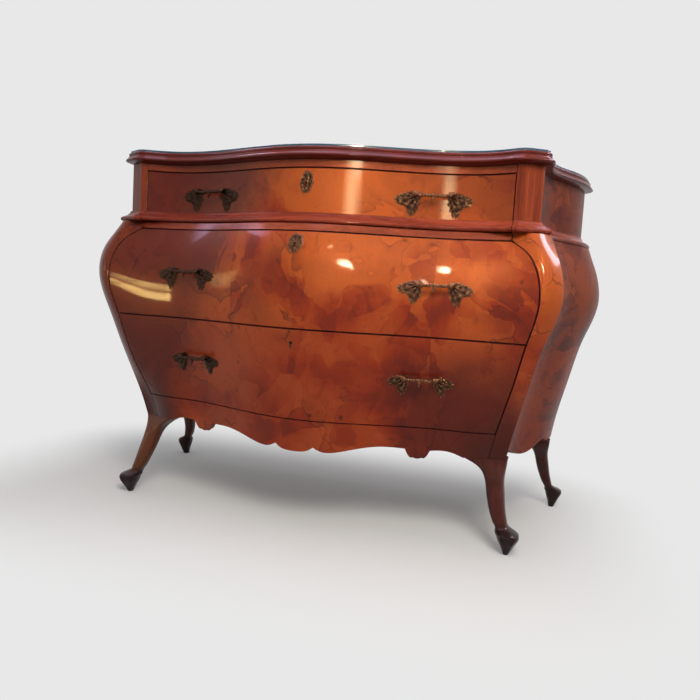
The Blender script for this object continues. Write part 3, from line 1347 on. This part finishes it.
class CHEST_OT_brasses(Step):
    """Builds the cast pulls and the key plates"""
    bl_idname = "chest.brasses"
    bl_label = "Brasses"

    def make(self, context):
        for drawer in DRAWER_SPAN:
            body = "drawer_%d" % drawer
            brass = [FINISH["brass"]]
            both_sides(pull_shell(drawer), "leafy_pull_%d" % drawer, body + "_pull", "brass", brass, 0.0,
                       65.0, body=body)
            plate = plate_shell(drawer)
            plate.build("key_plate_%d" % drawer, body, [body + "_escutcheon"], "brass", brass, 0.0, 50.0)


# ---------------------------------------------------------------- stage
def staged(place):
    return Vector(place) + Vector((0.0, STAGE_Y, 0.0))


def lamp(name, place, target, wide, tall, watts, tint, spread=180.0, matt=True, gloss=True):
    """A plain lamp; it may light only matt surfaces or show only in gloss. A narrow spread, in degrees, hides
    it from what lies beside its target, and its power is scaled to keep the brightness towards the target."""
    light = bpy.data.lights.new(name, "AREA")
    light.shape = "ELLIPSE" if wide == tall and wide < 0.3 else "RECTANGLE"
    light.size = wide
    light.size_y = tall
    light.energy = watts
    light.color = tint
    if spread < 180.0:
        half = math.radians(spread / 2.0)
        light.spread = 2.0 * half
        light.energy = watts * (math.tan(half) - half) / math.tan(half)
    obj = put(name, light)
    obj.visible_diffuse = matt
    obj.visible_glossy = gloss
    obj.location = staged(place)
    obj.rotation_euler = (Vector(target) - Vector(place)).to_track_quat("-Z", "Y").to_euler()


def soft_lamp(name, place, target, wide, tall, watts, tint, spread=180.0):
    """A lamp that shows only in gloss and fades towards its edge, made of lamps within lamps."""
    for part in (1.0, 0.7, 0.45, 0.25):
        lamp(name, place, target, wide * part, tall * part, watts * part, tint, spread, matt=False)


def camera(lens):
    """A camera a little right of the middle, at the height of drawer 2, turned a little about its axis."""
    turn, dip, roll = math.radians(17.4), math.radians(5.2), math.radians(3.4)
    ahead = Vector((-math.sin(turn) * math.cos(dip), math.cos(turn) * math.cos(dip), -math.sin(dip)))
    right = ahead.cross(Vector((0.0, 0.0, 1.0))).normalized()
    up = right.cross(ahead)
    across = right * math.cos(roll) + up * math.sin(roll)
    upward = up * math.cos(roll) - right * math.sin(roll)
    view = bpy.data.cameras.new("camera")
    view.lens = lens
    view.sensor_width = 36.0
    view.clip_start = 0.01
    view.clip_end = 100.0
    obj = put("camera", view)
    matrix = Matrix((across, upward, -ahead)).transposed().to_4x4()
    matrix.translation = staged((0.584, -1.689, 0.580))
    obj.matrix_world = matrix
    bpy.context.scene.camera = obj


def floor(ground):
    """Pale floor that melts into the background away from the chest."""
    f = Finish("pale floor")
    speck = f.noise(f.place, 60.0, 3.0)
    tint = f.mix(speck * 0.06, tuple(ground), (0.70, 0.70, 0.70))
    flat = f.add("ShaderNodeEmission", {}, tuple(ground) + (1.0,), 1.0)
    matt = f.add("ShaderNodeMixShader", {}, 0.15, f.add("ShaderNodeBsdfDiffuse", {}, tint), flat)
    dull = f.add("ShaderNodeBsdfDiffuse", {}, shaded(0.4, ground) + (1.0,))
    beyond = f.vector("ABSOLUTE", f.scaled(1.0, 1.0, 0.0, (0.12, 0.0, 0.0)))
    beyond = f.vector("MAXIMUM", f.vector("SUBTRACT", beyond, (0.55, 0.28, 0.0)), (0.0, 0.0, 0.0))
    far = f.vector("LENGTH", beyond, out="Value").over(0.0, 0.5)
    pale = f.add("ShaderNodeMixShader", {}, far, matt, flat)
    f.close(f.add("ShaderNodeMixShader", {}, f.seen(), dull, pale))
    mesh = bpy.data.meshes.new("floor")
    mesh.from_pydata([(-30, -30, 0), (30, -30, 0), (30, 30, 0), (-30, 30, 0)], [], [(0, 1, 2, 3)])
    mesh.materials.append(f.owner)
    obj = put("floor", mesh)


def room(ground, strength):
    """Even room light; the background is met in the colour of the floor."""
    world = bpy.data.worlds.new("room")
    f = Finish("room", world)
    lit = f.add("ShaderNodeBackground", {}, (1.0, 0.99, 0.98, 1.0), strength)
    pale = f.add("ShaderNodeBackground", {}, tuple(ground) + (1.0,), 1.0)
    f.close(f.add("ShaderNodeMixShader", {}, f.seen(), lit, pale), "World")
    bpy.context.scene.world = world


WINDOW = Vector((-1.50, -2.13, 0.0))
WINDOW_ALONG = Vector((0.30, -0.16, 0.0)).normalized()
WINDOW_COLUMNS = ((-0.126, 0.088, 1.0), (-0.026, 0.081, 0.8), (0.101, 0.142, 0.5))  # middle, width, strength
WINDOW_ROWS = ((0.27, 0.19, 1.0), (0.50, 0.20, 0.7))  # middle, height, strength
WINDOW_RADIANCE = 110.0
CHEST_MIDDLE = (0.1, -0.2, 0.5)
CREAM = (1.0, 0.86, 0.56)
AMBER = (1.0, 0.80, 0.42)
# name, place, target, width, height, watts, tint, and the spread where it is narrow
SHEENS = (
    ("sheen above", (-0.2, -0.3, 3.2), CHEST_MIDDLE, 2.6, 1.6, 46.0, (0.72, 0.66, 1.0)),
    ("sheen behind", (-0.3, 1.6, 2.5), CHEST_MIDDLE, 3.2, 1.4, 130.0, (0.76, 0.70, 1.0)),
    ("sheen on the left", (-1.65, -0.70, 1.88), (0.05, -0.27, 0.69), 1.3, 0.3, 17.0, (0.80, 0.62, 1.0), 24.0),
    ("sheen on the right", (1.88, 0.0, 2.1), (0.52, -0.19, 0.70), 0.9, 0.6, 60.0, (0.85, 0.80, 1.0)),
    ("sheen beside", (2.5, 0.1, 1.15), (0.52, -0.15, 0.80), 0.4, 0.9, 9.0, (0.88, 0.84, 1.0)))
SPOTS = (
    ("spot above", (0.48, -2.28, 2.00), (0.42, -0.20, 0.63), 0.32, 0.32, 110.0, CREAM, 13.0),
    ("spot beside", (0.72, -2.57, 1.37), (0.02, -0.26, 0.72), 0.32, 0.32, 95.0, CREAM, 13.0),
    ("left tall lamp", (0.34, -1.196, 0.94), (0.10, -0.22, 0.81), 0.30, 0.26, 14.0, AMBER, 11.0),
    ("right tall lamp", (0.44, -1.149, 0.95), (0.31, -0.16, 0.83), 0.22, 0.24, 10.0, AMBER, 11.0),
    ("small lamp", (-2.0, -1.07, 0.70), (-0.19, -0.25, 0.6), 0.16, 0.30, 1.0, (1.0, 0.68, 0.26)))


def window(seen_from):
    """A low window with unequal panes, seen in the polish of the left front only."""
    for across, wide, bright in WINDOW_COLUMNS:
        for up, tall, shine in WINDOW_ROWS:
            place = WINDOW + WINDOW_ALONG * across + Vector((0.0, 0.0, up))
            watts = math.pi * wide * tall * WINDOW_RADIANCE * bright * shine
            lamp("window pane", place, seen_from, wide, tall, watts, (1.0, 0.70, 0.24), 14.0, matt=False)


class CHEST_OT_stage(Step):
    """Sets the camera, the lamps, the floor and the room light"""
    bl_idname = "chest.stage"
    bl_label = "Stage"

    def make(self, context):
        stage = context.scene.chest_stage
        camera(stage.lens)
        floor(stage.ground)
        room(stage.ground, stage.sky)
        lamp("wide lamp", (0.9, -1.7, 2.0), CHEST_MIDDLE, 1.0, 1.0, stage.lamp, (1.0, 0.93, 0.84),
             gloss=False)
        lamp("upper lamp", (0.0, -0.4, 3.2), CHEST_MIDDLE, 2.2, 1.6, stage.cool, (0.86, 0.90, 1.0),
             gloss=False)
        for sheen in SHEENS:
            lamp(*sheen, matt=False)
        for spot in SPOTS:
            soft_lamp(*spot)
        window((-0.44, -0.21, 0.50))
        context.scene.view_settings.view_transform = "Standard"


STEPS = (CHEST_OT_finishes, CHEST_OT_drawer_fronts, CHEST_OT_front_frame, CHEST_OT_corners_and_sides,
         CHEST_OT_mouldings, CHEST_OT_top, CHEST_OT_legs, CHEST_OT_brasses, CHEST_OT_stage)


class CHEST_PT_steps(Panel):
    """Lists the steps that build the chest, in order"""
    bl_idname = "CHEST_PT_steps"
    bl_label = "Bombe chest"
    bl_space_type = "VIEW_3D"
    bl_region_type = "UI"
    bl_category = "Chest"

    def draw(self, context):
        for step in STEPS:
            self.layout.operator(step.bl_idname)
        for group in (context.scene.chest_wood, context.scene.chest_metal, context.scene.chest_stage):
            box = self.layout.box()
            for key in group.__annotations__:
                box.prop(group, key)


SETTINGS = (("chest_wood", ChestWood), ("chest_metal", ChestMetal), ("chest_stage", ChestStage))


def register():
    for name, group in SETTINGS:
        bpy.utils.register_class(group)
        setattr(bpy.types.Scene, name, PointerProperty(type=group))
    for kind in (*STEPS, CHEST_PT_steps):
        bpy.utils.register_class(kind)


def unregister():
    for kind in reversed((*STEPS, CHEST_PT_steps)):
        bpy.utils.unregister_class(kind)
    for name, group in reversed(SETTINGS):
        delattr(bpy.types.Scene, name)
        bpy.utils.unregister_class(group)


def main():
    register()
    for step in STEPS:
        group, name = step.bl_idname.split(".")
        getattr(getattr(bpy.ops, group), name)()


if __name__ == "__main__":
    main()
